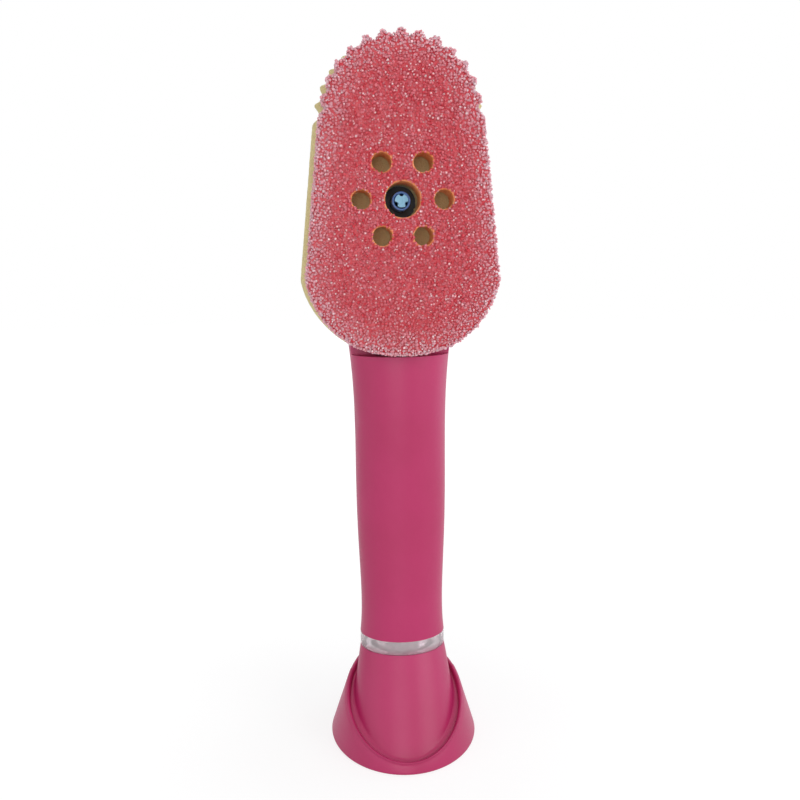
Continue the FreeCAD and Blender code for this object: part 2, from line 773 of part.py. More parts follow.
def biarc(start, start_way, end, end_way):
    """Join two points by two arcs that leave and arrive along the given unit directions."""
    chord = end - start
    ways = start_way + end_way
    a = 2 * (1 - start_way.dot(end_way))
    b = 2 * chord.dot(ways)
    reach = (-b + math.sqrt(b * b + 4 * a * chord.dot(chord))) / (2 * a)
    middle = (start + end + (start_way - end_way) * reach) * 0.5
    arcs = []
    for foot, way, head in ((start, start_way, middle), (end, end_way * -1, middle)):
        span = head - foot
        normal = span - way * span.dot(way)
        radius = span.dot(span) / (2 * normal.Length)
        centre = foot + normal.normalize() * radius
        half_way = centre + ((foot - centre) + (head - centre)).normalize() * radius
        arcs.append((foot, half_way, head))
    second = (arcs[1][2], arcs[1][1], arcs[1][0])
    return [Part.Arc(*arcs[0]).toShape(), Part.Arc(*second).toShape()]


def make_valve_spring():
    """Make the coil spring as one tube along a helix of quarter-turn biarcs."""
    wire = size("spring_wire").number
    radius = size("spring_radius").number
    turns = size("spring_turns").number
    start = (nozzle_tip + disc_back).number + wire / 2 + size("valve_clearance").number
    end = (nozzle_tip + retainer_front).number - wire / 2 - size("valve_clearance").number
    height = size("valve_height").number
    quarters = round(turns * 4)
    climb = (end - start) / quarters

    def station(quarter):
        angle = quarter * math.pi / 2
        point = FreeCAD.Vector(radius * math.cos(angle), start + climb * quarter, height + radius * math.sin(angle))
        way = FreeCAD.Vector(-radius * math.sin(angle), climb * 2 / math.pi, radius * math.cos(angle))
        return point, way.normalize()

    edges = []
    for quarter in range(quarters):
        edges += biarc(*station(quarter), *station(quarter + 1))
    path = Part.Wire(edges)
    first_point, first_way = station(0)
    section = Part.Wire([Part.Circle(first_point, first_way, wire / 2).toShape()])
    print("spring gap between turns:", round(climb * 4 - wire, 3))
    spring = doc.addObject("Part::Feature", "valve_spring")
    spring.Shape = path.makePipeShell([section], True, False)
    spring.Placement = FreeCAD.Placement()
    return spring


# Scrubbing pad: sketches are measured from the middle of the pad's round top

def add_pad_outline(sketch, offset):
    """Add the pad's outline, moved out by an offset: round top, tapered sides, full round bottom."""
    top = size("pad_top_radius") + offset
    corner = size("pad_corner_radius") + offset
    bottom = size("pad_bottom_radius") + offset
    spread = size("pad_half_width") - size("pad_corner_radius")
    bottom_lift = size("pad_bottom_radius") - size("pad_drop")
    corner_lift = bottom_lift.number - math.sqrt((bottom.number - corner.number) ** 2 - spread.number ** 2)
    span = math.hypot(spread.number, corner_lift)
    tilt = math.atan2(corner_lift, spread.number) + math.acos((top.number - corner.number) / span)
    low = math.atan2(corner_lift - bottom_lift.number, spread.number)

    def arc(x, y, radius, start, end):
        circle = Part.Circle(FreeCAD.Vector(x, y, 0), Z_AXIS, radius.number)
        return sketch.addGeometry(Part.ArcOfCircle(circle, start, end))

    def on_circle(x, y, radius, angle):
        return FreeCAD.Vector(x + radius.number * math.cos(angle), y + radius.number * math.sin(angle), 0)

    centre = FreeCAD.Vector(spread.number, corner_lift, 0)
    crown = arc(0, 0, top, tilt, math.pi - tilt)
    right = sketch.addGeometry(Part.LineSegment(
        on_circle(centre.x, centre.y, corner, tilt), on_circle(0, 0, top, tilt)))
    right_corner = arc(centre.x, centre.y, corner, low, tilt)
    base = arc(0, bottom_lift.number, bottom, -math.pi - low, low)
    left_corner = arc(-centre.x, centre.y, corner, math.pi - tilt, math.pi - low)
    left = sketch.addGeometry(Part.LineSegment(
        on_circle(0, 0, top, math.pi - tilt), on_circle(-centre.x, centre.y, corner, math.pi - tilt)))
    for first, first_end, second, second_end in (
            (right, 2, crown, 1), (crown, 2, left, 1), (left, 2, left_corner, 1),
            (left_corner, 2, base, 1), (base, 2, right_corner, 1), (right_corner, 2, right, 1)):
        sketch.addConstraint(Sketcher.Constraint("Tangent", first, first_end, second, second_end))
    sketch.addConstraint(Sketcher.Constraint("Coincident", crown, 3, -1, 1))
    sketch.addConstraint(Sketcher.Constraint("PointOnObject", base, 3, -2))
    sketch.addConstraint(Sketcher.Constraint("Equal", right_corner, left_corner))
    constrain(sketch, top, "Radius", crown)
    constrain(sketch, corner, "Radius", right_corner)
    constrain(sketch, bottom, "Radius", base)
    constrain(sketch, -bottom_lift, "DistanceY", base, 3, -1, 1)
    constrain(sketch, spread, "DistanceX", -1, 1, right_corner, 3)
    constrain(sketch, spread, "DistanceX", left_corner, 3, -1, 1)


def pad_layer(name, y, thickness, offset):
    """Make one layer of the pad as a padded outline, with its back at y."""
    body = new_body(name, y=y, z=size("pad_top_height"))
    sketch = new_sketch(body, f"{name}_outline", "XZ_Plane")
    add_pad_outline(sketch, offset)
    pad_sketch(sketch, f"{name}_block", thickness)
    return body


def cut_notches(body, name, offset):
    """Cut the row of notches that gives the top edge its scraping teeth."""
    doc.recompute()
    rim = size("pad_top_radius") + offset
    sketch = new_sketch(body, f"{name}_notch_outline", "XZ_Plane")
    root = rim - size("notch_depth")
    clear = rim + size("notch_depth")
    flank = size("notch_half_width") * 2
    add_polygon(sketch, [(ZERO, root), (flank, clear), (-flank, clear)])
    half_sweep = size("notch_pitch") * (size("notch_count") - 1) / 2
    sketch.setExpression("AttachmentOffset.Rotation.Angle", f"{half_sweep.text} * 1 deg")
    notch = pocket_through(sketch, f"{name}_notch")
    polar_copies(body, f"{name}_notches", notch, sketch, -half_sweep * 2, size("notch_count"))


def valve_drop():
    """Give how far the soap outlet lies below the middle of the pad's round top."""
    return size("valve_height") - size("pad_top_height")


def make_scrub_foam():
    """Make the coarse scrubbing foam, with the soap outlet and a ring of soap holes."""
    body = pad_layer("scrub_foam", backing_front, size("foam_thickness"), ZERO)
    cut_notches(body, "scrub_foam", ZERO)
    doc.recompute()
    sketch = new_sketch(body, "scrub_foam_holes", "XZ_Plane")
    add_circle(sketch, ZERO, valve_drop(), size("outlet_radius"))
    count = round(size("soap_hole_count").number)
    for index in range(count):
        angle = 2 * math.pi * (index + 0.5) / count
        x = size("soap_hole_circle") * round(math.sin(angle), 6)
        y = valve_drop() + size("soap_hole_circle") * round(math.cos(angle), 6)
        add_circle(sketch, x, y, size("soap_hole_radius"))
    pocket_through(sketch, "scrub_foam_hole")
    return body


def make_backing_foam():
    """Make the cream backing foam, a little larger than the scrubbing foam."""
    body = pad_layer("backing_foam", carrier_front, size("backing_thickness"), size("backing_overhang"))
    cut_notches(body, "backing_foam", size("backing_overhang"))
    doc.recompute()
    sketch = new_sketch(body, "backing_foam_holes", "XZ_Plane")
    add_circle(sketch, ZERO, valve_drop(), size("outlet_radius"))
    pocket_through(sketch, "backing_foam_hole")
    return body


def make_carrier_plate():
    """Make the plate that the foam is bonded to, with its pegs."""
    body = pad_layer("carrier_plate", carrier_back, size("carrier_thickness"), -size("carrier_inset"))
    pegs = new_sketch(body, "carrier_plate_peg_circles", "XZ_Plane")
    for x, z in peg_places:
        add_circle(pegs, x, z - size("pad_top_height"), size("peg_radius"))
    pad_sketch(pegs, "carrier_plate_pegs", size("peg_length"), forward=False)
    doc.recompute()
    sketch = new_sketch(body, "carrier_plate_holes", "XZ_Plane")
    add_circle(sketch, ZERO, valve_drop(), outlet_seal_outside)
    pocket_through(sketch, "carrier_plate_hole")
    return body


outlet_seal_inside = size("nozzle_radius") + size("housing_clearance")
outlet_seal_outside = outlet_seal_inside + size("outlet_seal_wall")


def make_outlet_seal():
    """Make the soft ring in the carrier plate that closes round the nozzle."""
    flange = outlet_seal_outside + size("outlet_seal_flange")
    depth = size("carrier_thickness") + size("outlet_seal_lip")
    return turned_body("outlet_seal", [
        (ZERO, outlet_seal_inside),
        (ZERO, flange),
        (size("outlet_seal_lip"), flange),
        (size("outlet_seal_lip"), outlet_seal_outside),
        (depth, outlet_seal_outside),
        (depth, outlet_seal_inside),
    ], y=carrier_front - size("outlet_seal_lip"), z=size("valve_height"), along_y=True)


MAKERS = (
    make_base_cap, make_cap_insert, make_cap_gasket, make_vent_valve,
    make_reservoir, make_reservoir_seal, make_handle_shell, make_head_cover,
    make_valve_housing, make_housing_seal, make_valve_plunger, make_plunger_seal,
    make_valve_spring, make_spring_retainer,
    make_carrier_plate, make_outlet_seal, make_backing_foam, make_scrub_foam,
)

pieces = []
for maker in MAKERS:
    piece = maker()
    piece.Label = maker.__name__.removeprefix("make_")
    pieces.append(piece)
doc.recompute()

for item in doc.Objects:
    if "Invalid" in item.State or "Error" in item.State:
        raise RuntimeError(f"{item.Name} did not build: {item.State}")
for piece in pieces:
    if piece.Shape.isNull() or not piece.Shape.isValid() or len(piece.Shape.Solids) != 1:
        raise RuntimeError(f"{piece.Label} is not one sound solid")

os.makedirs("parts", exist_ok=True)
for piece in pieces:
    piece.Shape.exportStep(f"parts/{piece.Label}.step")
    print(piece.Label, round(piece.Shape.Volume, 1))
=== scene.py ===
"""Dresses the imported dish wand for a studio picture: foams, plastics, seals, thread and light."""
import logging
import math
import random
from dataclasses import dataclass, field
from enum import Enum

import bmesh
import bpy
from mathutils import Euler, Matrix, Vector, kdtree, noise
from mathutils.bvhtree import BVHTree


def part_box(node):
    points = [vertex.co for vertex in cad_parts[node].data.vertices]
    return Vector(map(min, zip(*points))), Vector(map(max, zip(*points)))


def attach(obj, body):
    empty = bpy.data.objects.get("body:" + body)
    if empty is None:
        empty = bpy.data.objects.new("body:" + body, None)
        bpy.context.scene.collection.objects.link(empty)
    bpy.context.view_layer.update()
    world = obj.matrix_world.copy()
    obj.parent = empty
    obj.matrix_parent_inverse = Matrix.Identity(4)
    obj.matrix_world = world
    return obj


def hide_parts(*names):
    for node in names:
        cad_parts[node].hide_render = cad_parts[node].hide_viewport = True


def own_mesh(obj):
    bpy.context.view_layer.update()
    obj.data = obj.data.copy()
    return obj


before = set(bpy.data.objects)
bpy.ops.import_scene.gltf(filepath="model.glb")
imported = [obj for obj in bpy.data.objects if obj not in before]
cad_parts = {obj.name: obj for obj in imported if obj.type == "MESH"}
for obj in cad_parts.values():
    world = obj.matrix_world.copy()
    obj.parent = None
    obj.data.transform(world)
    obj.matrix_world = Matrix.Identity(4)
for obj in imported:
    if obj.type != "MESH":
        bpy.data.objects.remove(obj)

log = logging.getLogger("dish_wand")
MM = 0.001
WELD = 0.005 * MM
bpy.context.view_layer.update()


def from_screen(red: int, green: int, blue: int) -> tuple[float, float, float, float]:
    """Turn a screen colour (0 to 255) into the linear colour that a shader takes.

    Args:
        red: Red level on screen.
        green: Green level on screen.
        blue: Blue level on screen.

    Returns:
        The linear colour with an alpha of 1.
    """
    levels = (value / 255 for value in (red, green, blue))
    linear = [v / 12.92 if v <= 0.04045 else ((v + 0.055) / 1.055) ** 2.4 for v in levels]
    return (*linear, 1.0)


class NodePlan:
    """A material under construction, with short ways to add and join its nodes."""

    def __init__(self, name: str) -> None:
        """Start a material that has only its surface shader and output."""
        self.material = bpy.data.materials.new(name)
        self.material.use_nodes = True
        self.tree = self.material.node_tree
        self.shader = self.tree.nodes["Principled BSDF"]
        self.place = self.add("ShaderNodeTexCoord").outputs["Object"]

    def add(self, kind: str, **inputs: object) -> bpy.types.Node:
        """Add a node and fill its inputs.

        Args:
            kind: Blender's name for the node type.
            inputs: Input names, with underscores for spaces, and their values or source sockets.

        Returns:
            The new node.
        """
        node = self.tree.nodes.new(kind)
        for name, value in inputs.items():
            self.feed(node.inputs[name.replace("_", " ")], value)
        return node

    def feed(self, socket: bpy.types.NodeSocket, value: object) -> None:
        """Link a socket to another one, or set its value."""
        if isinstance(value, bpy.types.NodeSocket):
            self.tree.links.new(value, socket)
        else:
            socket.default_value = value

    def surface(self, **inputs: object) -> None:
        """Fill the surface shader's inputs, with underscores for spaces in their names."""
        for name, value in inputs.items():
            self.feed(self.shader.inputs[name.replace("_", " ")], value)

    def noise(self, scale: float, detail: float = 3.0, roughness: float = 0.55) -> bpy.types.NodeSocket:
        """Add a noise pattern on object coordinates.

        Args:
            scale: Features per metre.
            detail: Layers of finer noise.
            roughness: Strength of the finer layers.

        Returns:
            The socket with the noise value.
        """
        node = self.add(
            "ShaderNodeTexNoise", Vector=self.place, Scale=scale, Detail=detail, Roughness=roughness)
        return node.outputs["Fac"]

    def cells(self, scale: float, feature: str = "F1") -> bpy.types.NodeSocket:
        """Add a cell pattern on object coordinates and give its distance socket.

        Args:
            scale: Cells per metre.
            feature: Blender's name for the distance that is measured.

        Returns:
            The socket with the distance.
        """
        node = self.add("ShaderNodeTexVoronoi", Vector=self.place, Scale=scale)
        node.feature = feature
        return node.outputs["Distance"]

    def attribute(self, name: str) -> bpy.types.NodeSocket:
        """Read a number that the mesh carries on its vertices."""
        node = self.add("ShaderNodeAttribute")
        node.attribute_name = name
        return node.outputs["Fac"]

    def remap(
            self, value: object, low: float, high: float, to_low: float, to_high: float,
    ) -> bpy.types.NodeSocket:
        """Carry a value from one range to another, held within it.

        Args:
            value: Socket to read.
            low: Low end of the range read.
            high: High end of the range read.
            to_low: Value given at the low end.
            to_high: Value given at the high end.

        Returns:
            The socket with the new value.
        """
        node = self.add("ShaderNodeMapRange", Value=value)
        limits = {"From Min": low, "From Max": high, "To Min": to_low, "To Max": to_high}
        for name, number in limits.items():
            node.inputs[name].default_value = number
        return node.outputs["Result"]

    def blend(self, share: object, first: object, second: object) -> bpy.types.NodeSocket:
        """Mix two colours.

        Args:
            share: Share of the second colour.
            first: Colour at a share of 0.
            second: Colour at a share of 1.

        Returns:
            The socket with the mixed colour.
        """
        node = self.tree.nodes.new("ShaderNodeMix")
        node.data_type = "RGBA"
        self.feed(node.inputs[0], share)
        self.feed(node.inputs[6], first)
        self.feed(node.inputs[7], second)
        return node.outputs[2]

    def combine(self, operation: str, first: object, second: object) -> bpy.types.NodeSocket:
        """Join two values with arithmetic and give the result's socket."""
        node = self.tree.nodes.new("ShaderNodeMath")
        node.operation = operation
        self.feed(node.inputs[0], first)
        self.feed(node.inputs[1], second)
        return node.outputs[0]

    def distance(self) -> bpy.types.NodeSocket:
        """Give the socket with a point's distance from the object's origin, in metres."""
        node = self.tree.nodes.new("ShaderNodeVectorMath")
        node.operation = "LENGTH"
        self.feed(node.inputs[0], self.place)
        return node.outputs["Value"]

    def bump(self, height: object, depth: float, strength: float) -> bpy.types.NodeSocket:
        """Turn a height pattern into a normal.

        Args:
            height: Socket with the height from 0 to 1.
            depth: Depth of the relief in metres.
            strength: Share of the relief that is used.

        Returns:
            The socket with the normal.
        """
        node = self.add("ShaderNodeBump", Height=height, Distance=depth, Strength=strength)
        return node.outputs["Normal"]


@dataclass(frozen=True)
class SatinPlastic:
    """Moulded plastic with a fine satin grain and slight mottling from the mould."""

    name: str
    colour: tuple[float, float, float, float]
    shade: tuple[float, float, float, float]
    roughness: float = 0.42
    grain: float = 2200.0

    def material(self) -> bpy.types.Material:
        """Build the material."""
        plan = NodePlan(self.name)
        mottle = plan.remap(plan.noise(26.0, 4.0), 0.35, 0.65, 0.0, 1.0)
        fine = plan.noise(self.grain, 2.0)
        height = plan.combine("ADD", fine, plan.combine("MULTIPLY", plan.noise(300.0), 0.6))
        plan.surface(
            Base_Color=plan.blend(mottle, self.colour, self.shade),
            Roughness=plan.remap(fine, 0.3, 0.7, self.roughness - 0.05, self.roughness + 0.06),
            Normal=plan.bump(height, 0.04 * MM, 0.35),
            Specular_IOR_Level=0.48,
        )
        return plan.material


@dataclass(frozen=True)
class ClearPlastic:
    """Clear moulded plastic that lets light through, with faint waves from the mould."""

    name: str
    colour: tuple[float, float, float, float]
    roughness: float
    passes: float
    # Colour and height of a painted reflection of the piece under the part, low down on it.
    painted_reflection: tuple[float, float, float, float]
    painted_reflection_height: float = 0.0
    wave: float = 140.0
    fade: float = 2.4 * MM

    def material(self) -> bpy.types.Material:
        """Build the material; low down it is painted with the colour of the piece under it, a painted
        reflection.
        """
        plan = NodePlan(self.name)
        wave = plan.noise(self.wave, 2.0)
        height = plan.add("ShaderNodeSeparateXYZ", Vector=plan.place).outputs["Z"]
        wavy = plan.combine("MULTIPLY_ADD", wave, self.fade)
        plan.feed(wavy.node.inputs[2], height)
        # Painted reflection: low down the colour turns towards the piece under the part.
        low = plan.remap(wavy, self.painted_reflection_height, self.painted_reflection_height + self.fade, 1.0, 0.0)
        plan.surface(
            Base_Color=plan.blend(low, self.colour, self.painted_reflection),
            Roughness=plan.remap(wave, 0.3, 0.7, self.roughness * 0.6, self.roughness * 1.5),
            Normal=plan.bump(wave, 0.03 * MM, 0.3),
            Transmission_Weight=self.passes,
            IOR=1.46,
        )
        return plan.material


@dataclass(frozen=True)
class GrainFoam:
    """Coarse glassy scrubbing foam: grains of many tints, some with a painted highlight, and painted
    light that makes the thin edges paler.
    """

    name: str
    deep: tuple[float, float, float, float]
    grain: tuple[float, float, float, float]
    # Pale colour of painted light along the thin edges, where light shines through and grazes the foam.
    pale: tuple[float, float, float, float]
    # Near-white colour of the painted highlight on some grains.
    painted_glint: tuple[float, float, float, float]
    # Orange of the hole walls: partly the cut foam's own yellowed colour, partly painted light shining
    # through the thin pink foam.
    cut: tuple[float, float, float, float]

    def material(self) -> bpy.types.Material:
        """Build the material."""
        plan = NodePlan(self.name)
        tint = plan.attribute("tint")
        # Painted shade: the core between the grains keeps a tint of 0, so the pits take the deep colour;
        # on the grains the tint varies at random.
        body = plan.blend(tint, self.deep, self.grain)
        cloud = plan.remap(plan.noise(75.0, 2.0), 0.3, 0.7, 0.0, 0.35)
        clouded = plan.blend(cloud, body, self.deep)
        # Painted light: grains near the foam's sides are blended towards the pale colour, as light
        # shines through the thin edges.
        with_painted_edge_light = plan.blend(plan.attribute("painted_edge_light"), clouded, self.pale)
        # Painted highlight: marked vertices turn near white, like light catching a grain.
        with_painted_glint = plan.blend(plan.attribute("painted_glint"), with_painted_edge_light, self.painted_glint)
        # Hole walls painted orange: partly their own yellowed colour, partly painted light through the
        # thin foam.
        colour = plan.blend(plan.attribute("cut"), with_painted_glint, self.cut)
        pores = plan.cells(1500.0)
        plan.surface(
            Base_Color=colour,
            Roughness=plan.remap(pores, 0.1, 0.6, 0.22, 0.4),
            Normal=plan.bump(pores, 0.2 * MM, 0.2),
            Specular_IOR_Level=0.55,
            Subsurface_Weight=0.35,
            Subsurface_Radius=(2.0 * MM, 0.6 * MM, 0.7 * MM),
            Subsurface_Scale=1.0,
        )
        return plan.material


@dataclass(frozen=True)
class FineFoam:
    """Soft fine-pored foam, with painted shade in its pores and random mottling."""

    name: str
    colour: tuple[float, float, float, float]
    painted_pore_shade_and_mottle: tuple[float, float, float, float]

    def material(self) -> bpy.types.Material:
        """Build the material."""
        plan = NodePlan(self.name)
        pores = plan.cells(1700.0)
        # Painted shade: the centres of the pores are painted darker; the random mottle on the next line
        # blends towards the same colour.
        painted_pore_shade = plan.remap(pores, 0.05, 0.4, 1.0, 0.0)
        mottle = plan.remap(plan.noise(120.0), 0.3, 0.7, 0.0, 0.25)
        shade = plan.combine("MAXIMUM", plan.combine("MULTIPLY", painted_pore_shade, 0.6), mottle)
        plan.surface(
            Base_Color=plan.blend(shade, self.colour, self.painted_pore_shade_and_mottle),
            Roughness=0.85,
            Normal=plan.bump(pores, 0.3 * MM, 0.7),
            Sheen_Weight=0.15,
        )
        return plan.material


@dataclass(frozen=True)
class SealRubber:
    """Dark moulded rubber with a dusty bloom."""

    name: str
    colour: tuple[float, float, float, float]
    bloom: tuple[float, float, float, float]

    def material(self) -> bpy.types.Material:
        """Build the material."""
        plan = NodePlan(self.name)
        dust = plan.remap(plan.noise(500.0, 4.0), 0.45, 0.75, 0.0, 0.6)
        plan.surface(
            Base_Color=plan.blend(dust, self.colour, self.bloom),
            Roughness=plan.remap(dust, 0.0, 0.6, 0.5, 0.75),
            Normal=plan.bump(plan.noise(2500.0), 0.03 * MM, 0.4),
        )
        return plan.material


@dataclass(frozen=True)
class SpringSteel:
    """Drawn steel wire."""

    name: str
    colour: tuple[float, float, float, float]

    def material(self) -> bpy.types.Material:
        """Build the material."""
        plan = NodePlan(self.name)
        drawn = plan.noise(3000.0, 3.0)
        plan.surface(
            Base_Color=self.colour,
            Metallic=1.0,
            Roughness=plan.remap(drawn, 0.3, 0.7, 0.2, 0.38),
            Normal=plan.bump(drawn, 0.02 * MM, 0.3),
        )
        return plan.material


class Finish(Enum):
    """The finishes of the wand; each one's name also names its material."""

    PINK_PLASTIC = SatinPlastic("pink_plastic", from_screen(174, 34, 92), from_screen(167, 30, 85))
    WHITE_PLASTIC = SatinPlastic(
        "white_plastic", from_screen(222, 218, 208), from_screen(208, 203, 192), 0.5)
    # Low down the clear plastic is painted pink: a painted reflection of the pink piece under it.
    CLEAR_PLASTIC = ClearPlastic(
        "clear_plastic", from_screen(238, 226, 230), 0.15, 0.65, from_screen(214, 150, 172), 41.0 * MM)
    BLUE_PLASTIC = ClearPlastic(
        "blue_plastic", from_screen(92, 142, 222), 0.2, 0.15, from_screen(92, 142, 222))
    LIGHT_BLUE_PLASTIC = ClearPlastic(
        "light_blue_plastic", from_screen(130, 202, 240), 0.25, 0.1, from_screen(130, 202, 240))
    # Its third colour is painted light on the thin edges and its fourth a painted highlight on some
    # grains.
    SCRUB_FOAM = GrainFoam(
        "scrub_foam", from_screen(194, 38, 56), from_screen(214, 124, 136),
        from_screen(218, 172, 182), from_screen(255, 246, 246), from_screen(240, 160, 100))
    # The second colour is painted shade in the pores, also used for random mottling.
    BACKING_FOAM = FineFoam("backing_foam", from_screen(216, 203, 150), from_screen(176, 160, 106))
    SEAL_RUBBER = SealRubber("seal_rubber", from_screen(34, 34, 36), from_screen(70, 70, 72))
    SPRING_STEEL = SpringSteel("spring_steel", from_screen(190, 190, 194))

    def made(self) -> bpy.types.Material:
        """Give the finish's material, built once."""
        return bpy.data.materials.get(f"{self.value.name}_finish") or self.build()

    def build(self) -> bpy.types.Material:
        """Build the finish's material and name it."""
        material = self.value.material()
        material.name = f"{self.value.name}_finish"
        return material


def dress_node(node: str, finish: Finish, crease: float = 32.0) -> None:
    """Give a CAD node its finish and smooth shading.

    Args:
        node: Name of the CAD node.
        finish: The finish it takes.
        crease: Angle in degrees past which an edge stays sharp.
    """
    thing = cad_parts[node]
    thing.data.materials.clear()
    thing.data.materials.append(finish.made())
    for face in thing.data.polygons:
        face.use_smooth = True
    weld = thing.modifiers.new("join_facets", "WELD")
    weld.merge_threshold = WELD
    split = thing.modifiers.new("keep_edges", "EDGE_SPLIT")
    split.split_angle = math.radians(crease)
    log.info("dressed %s with %s", node, finish.value.name)


def new_piece(
        name: str, mesh: bmesh.types.BMesh, finish: Finish, body: str, smooth: bool = True,
) -> bpy.types.Object:
    """Turn a bmesh into a finished piece that rides on a body.

    Args:
        name: Name of the piece.
        mesh: Its shape, in metres in the frame.
        finish: The finish it takes.
        body: The CAD body it moves with.
        smooth: Whether its faces are shaded smooth.

    Returns:
        The new object.
    """
    data = bpy.data.meshes.new(name)
    mesh.to_mesh(data)
    mesh.free()
    data.materials.append(finish.made())
    for face in data.polygons:
        face.use_smooth = smooth
    thing = bpy.data.objects.new(name, data)
    bpy.context.scene.collection.objects.link(thing)
    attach(thing, body)
    log.info("built %s: %d faces", name, len(data.polygons))
    return thing


def remeshed_node(node: str, voxel: float) -> bmesh.types.BMesh:
    """Copy a CAD node as an even mesh of small faces.

    Args:
        node: Name of the CAD node.
        voxel: Size of the faces in metres.

    Returns:
        The even mesh.
    """
    shape = bmesh.new()
    shape.from_mesh(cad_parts[node].data)
    bmesh.ops.remove_doubles(shape, verts=shape.verts, dist=WELD)
    data = bpy.data.meshes.new(f"{node}_rough")
    shape.to_mesh(data)
    shape.free()
    thing = bpy.data.objects.new(f"{node}_rough", data)
    bpy.context.scene.collection.objects.link(thing)
    remesh = thing.modifiers.new("even", "REMESH")
    remesh.mode = "VOXEL"
    remesh.voxel_size = voxel
    bpy.context.view_layer.update()
    even = bmesh.new()
    even.from_object(thing, bpy.context.evaluated_depsgraph_get())
    bpy.data.objects.remove(thing)
    bpy.data.meshes.remove(data)
    even.normal_update()
    return even


@dataclass
class ScrubPad:
    """The pull-off pad: coarse scrubbing foam, cream backing, carrier plate and its seal."""

    body: str = "scrub_head"
    voxel: float = 1.0 * MM
    grain_small: float = 0.4 * MM
    grain_large: float = 0.72 * MM
    grain_sink: float = 0.45
    core_sink: float = 0.5 * MM
    wander: float = 0.45 * MM
    # Width of the band along the sides that is painted paler (painted light).
    painted_edge_light_width: float = 10.0 * MM
    painted_edge_light_share: float = 1.0
    # Share of grains that get a painted highlight.
    painted_glint_share: float = 0.16
    core_ripple: float = 0.2 * MM
    core_waves: float = 700.0
    backing_voxel: float = 0.8 * MM
    backing_swell: float = 1.5 * MM
    backing_ripple: float = 0.12 * MM
    backing_waves: float = 900.0
    tuck_height: float = 27.4 * MM
    tuck_share: float = 0.15
    holes_reach: float = 21.0 * MM
    hole_wall_limit: float = 0.6
    edge_wall_limit: float = 0.5
    batch: int = 60
    seed: int = 7

    def build(self) -> None:
        """Build and dress the whole pad."""
        self.scrub_foam()
        self.backing_foam()
        dress_node("carrier_plate", Finish.WHITE_PLASTIC)
        dress_node("outlet_seal", Finish.SEAL_RUBBER)

    def tuck_corners(self, mesh: bmesh.types.BMesh) -> None:
        """Draw a foam layer in towards its lower end, which rounds its lower corners.

        Args:
            mesh: The layer.
        """
        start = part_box("scrub_foam")[0].z + self.tuck_height
        for vert in mesh.verts:
            drop = max(0.0, start - vert.co.z) / self.tuck_height
            vert.co.x *= 1.0 - self.tuck_share * drop
        mesh.normal_update()

    def in_hole(self, spot: Vector, normal: Vector, outlet_height: float) -> bool:
        """Tell whether a point of the foam lies on the wall of one of its holes.

        Args:
            spot: The point.
            normal: The surface's direction there.
            outlet_height: Height of the soap outlet, which the other holes lie round.

        Returns:
            True on a hole's wall.
        """
        near = math.hypot(spot.x, spot.z - outlet_height) < self.holes_reach
        return near and abs(normal.y) < self.hole_wall_limit

    def scrub_foam(self) -> None:
        """Build the coarse foam: an uneven core covered with glassy grains."""
        chance = random.Random(self.seed)
        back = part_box("scrub_foam")[1].y
        outlet_height = sum(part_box("outlet_seal"), Vector()).z / 2
        core = remeshed_node("scrub_foam", self.voxel)
        self.tuck_corners(core)
        # The core's tint stays 0, so the pits between the grains take the deep colour: painted shade.
        _, _, _, cut = self.add_layers(core)
        spots = []
        for vert in core.verts:
            hole = self.in_hole(vert.co, vert.normal, outlet_height)
            vert[cut] = 1.0 if hole else 0.0
            shown = not hole and vert.co.y < back - self.voxel
            if shown:
                spots.append((vert.co.copy(), vert.normal.copy()))
                ripple = noise.noise(vert.co * self.core_waves) * self.core_ripple
                vert.co += vert.normal * (ripple - self.core_sink)
        edges = self.tree_of_edges(spots)
        for start in range(0, len(spots), self.batch):
            self.add_grains(core, spots[start:start + self.batch], edges, chance)
        pad = new_piece("scrub_foam_pad", core, Finish.SCRUB_FOAM, self.body, smooth=False)
        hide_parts("scrub_foam")

    def tree_of_edges(self, spots: list[tuple[Vector, Vector]]) -> kdtree.KDTree:
        """Collect the points on the foam's sides, to tell how near its edge a grain lies.

        Args:
            spots: Points of the foam's surface, with the directions there.

        Returns:
            A search tree of the points that face sideways.
        """
        sides = [spot for spot, normal in spots if abs(normal.y) < self.edge_wall_limit]
        tree = kdtree.KDTree(len(sides))
        for index, spot in enumerate(sides):
            tree.insert(spot, index)
        tree.balance()
        return tree

    def add_layers(self, mesh: bmesh.types.BMesh) -> list[bmesh.types.BMLayerItem]:
        """Add the numbers that the foam's finish reads from each vertex.

        Args:
            mesh: The mesh that takes them.

        Returns:
            The layers for the grain's tint, the painted light on the thin edges, the painted highlight
            and the cut wall.
        """
        return [mesh.verts.layers.float.new(name) for name in ("tint", "painted_edge_light", "painted_glint", "cut")]

    def add_grains(
            self, core: bmesh.types.BMesh, spots: list[tuple[Vector, Vector]], edges: kdtree.KDTree,
            chance: random.Random,
    ) -> None:
        """Add one batch of glassy grains to the foam; a small mesh of its own keeps this quick.

        Args:
            core: The foam that takes the grains.
            spots: Points of its surface, with the directions there.
            edges: Points on the foam's sides.
            chance: Source of the grains' sizes and turns.
        """
        batch = bmesh.new()
        tint, painted_edge_light, painted_glint, _ = self.add_layers(batch)
        for spot, normal in spots:
            stray = Vector([chance.uniform(-1, 1) for _ in range(3)]) * self.wander
            size = chance.uniform(self.grain_small, self.grain_large)
            turn = Euler([chance.uniform(0, math.tau) for _ in range(3)]).to_matrix().to_4x4()
            stretch = Matrix.Diagonal((1.0, chance.uniform(0.6, 1.0), chance.uniform(0.7, 1.2), 1.0))
            place = Matrix.Translation(spot + stray - normal * size * self.grain_sink)
            made = bmesh.ops.create_icosphere(
                batch, subdivisions=1, radius=size, matrix=place @ turn @ stretch)
            value = chance.random()
